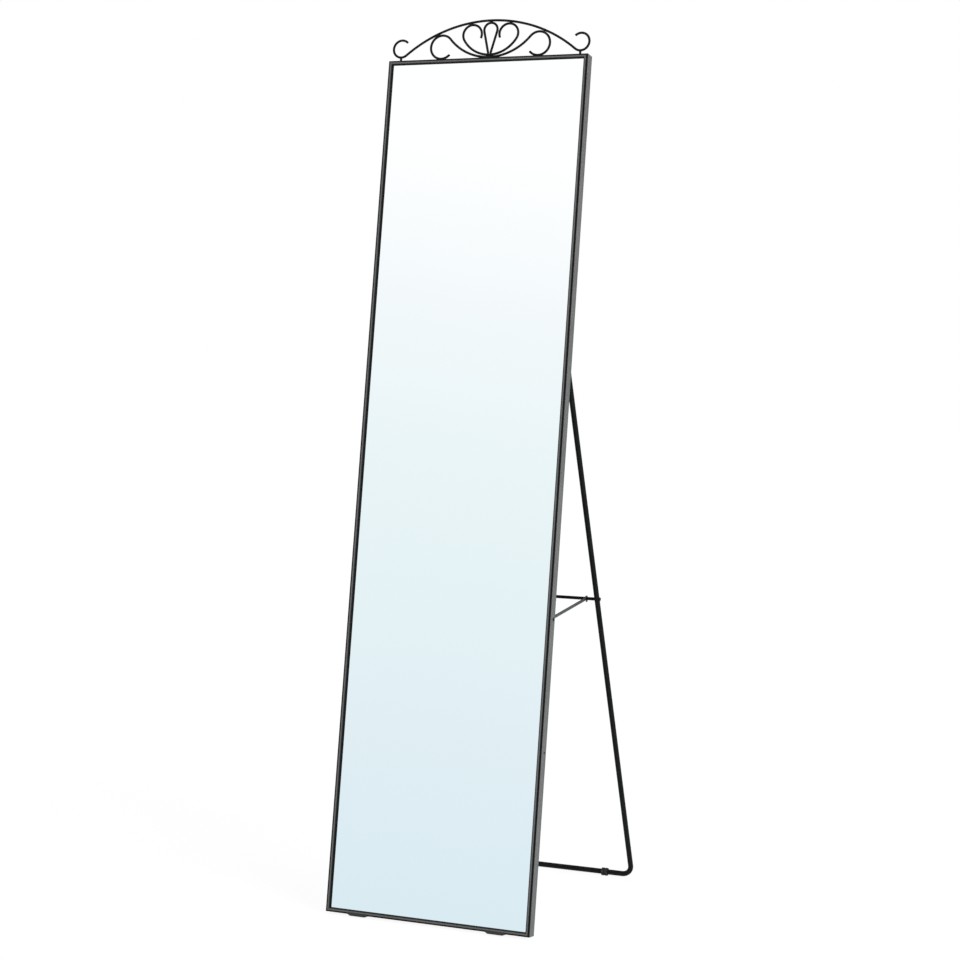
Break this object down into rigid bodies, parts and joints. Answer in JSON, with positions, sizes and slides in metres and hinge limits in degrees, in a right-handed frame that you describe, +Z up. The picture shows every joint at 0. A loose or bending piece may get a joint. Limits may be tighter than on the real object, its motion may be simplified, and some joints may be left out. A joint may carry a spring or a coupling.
{
  "type": "standing mirror",
  "caption": "Full-length standing mirror in a slim dark metal frame with a scrolled wire crown and a folding U-shaped rear leg held by two hooked stay arms.",
  "frame": {"origin": "middle of the footprint, on the floor", "axes": "+Z up, the glass faces -Y and the leg is behind it, +X to the right as seen from the front"},
  "size_m": [0.5096, 0.4312, 1.6452],
  "materials": {
    "frame_paint": "dark grey powder coat, satin",
    "leg_paint": "near-black powder coat, satin",
    "crossbar_paint": "black paint, semi-gloss",
    "mirror_glass": "silvered clear float glass",
    "safety_film": "grey woven-backed safety film",
    "rubber": "black rubber, matte",
    "ring_rubber": "black rubber, matte",
    "pad_plastic": "dark grey moulded plastic",
    "cap_plastic": "black moulded plastic",
    "dark_screw": "black zinc plating, satin",
    "zinc_hardware": "bright zinc plating",
    "zinc_sheet": "zinc-plated spring sheet",
    "stay_steel": "grey zinc plating, satin"
  },
  "bodies": {
    "mirror": {"right_stile": "frame_paint", "left_stile": "frame_paint", "top_rail": "frame_paint", "bottom_rail": "frame_paint", "mirror_glass": "mirror_glass", "safety_film": "safety_film", "glass_clips": "zinc_sheet", "setting_blocks": "rubber", "arch_wire": "frame_paint", "scroll_wire": "frame_paint", "heart_wire": "frame_paint", "teardrop_wire": "frame_paint", "crown_posts": "frame_paint", "crown_welds": "frame_paint", "right_hinge_bracket": "frame_paint", "left_hinge_bracket": "frame_paint", "pivot_bolts": "dark_screw", "pivot_washers": "zinc_hardware", "pivot_nuts": "zinc_hardware", "stay_screws": "dark_screw", "stay_spacers": "zinc_hardware", "stay_nuts": "zinc_hardware", "right_foot_pad": "pad_plastic", "left_foot_pad": "pad_plastic"},
    "leg": {"leg_tube": "leg_paint", "leg_end_caps": "cap_plastic", "left_foot_ring": "ring_rubber", "right_foot_ring": "ring_rubber", "crossbar": "crossbar_paint", "crossbar_screws": "dark_screw"},
    "left_stay": {"left_stay_arm": "stay_steel"},
    "right_stay": {"right_stay_arm": "stay_steel"}
  },
  "joints": [
    {"name": "leg_fold", "type": "hinge", "parent": "mirror", "child": "leg", "pos_m": [0, 0.00767, 1.03025], "axis": [-1, 0, 0], "range_deg": [0, 21.32]},
    {"name": "left_stay_swing", "type": "hinge", "parent": "mirror", "child": "left_stay", "pos_m": [0, -0.09495, 0.55368], "axis": [1, 0, 0], "range_deg": [0, 74.97]},
    {"name": "right_stay_swing", "type": "hinge", "parent": "mirror", "child": "right_stay", "pos_m": [0, -0.09495, 0.55368], "axis": [1, 0, 0], "range_deg": [0, 74.97]}
  ],
  "couplings": [
    {"joint": "left_stay_swing", "follows": "leg_fold", "ratio": 3.5086},
    {"joint": "right_stay_swing", "follows": "leg_fold", "ratio": 3.5086}
  ]
}
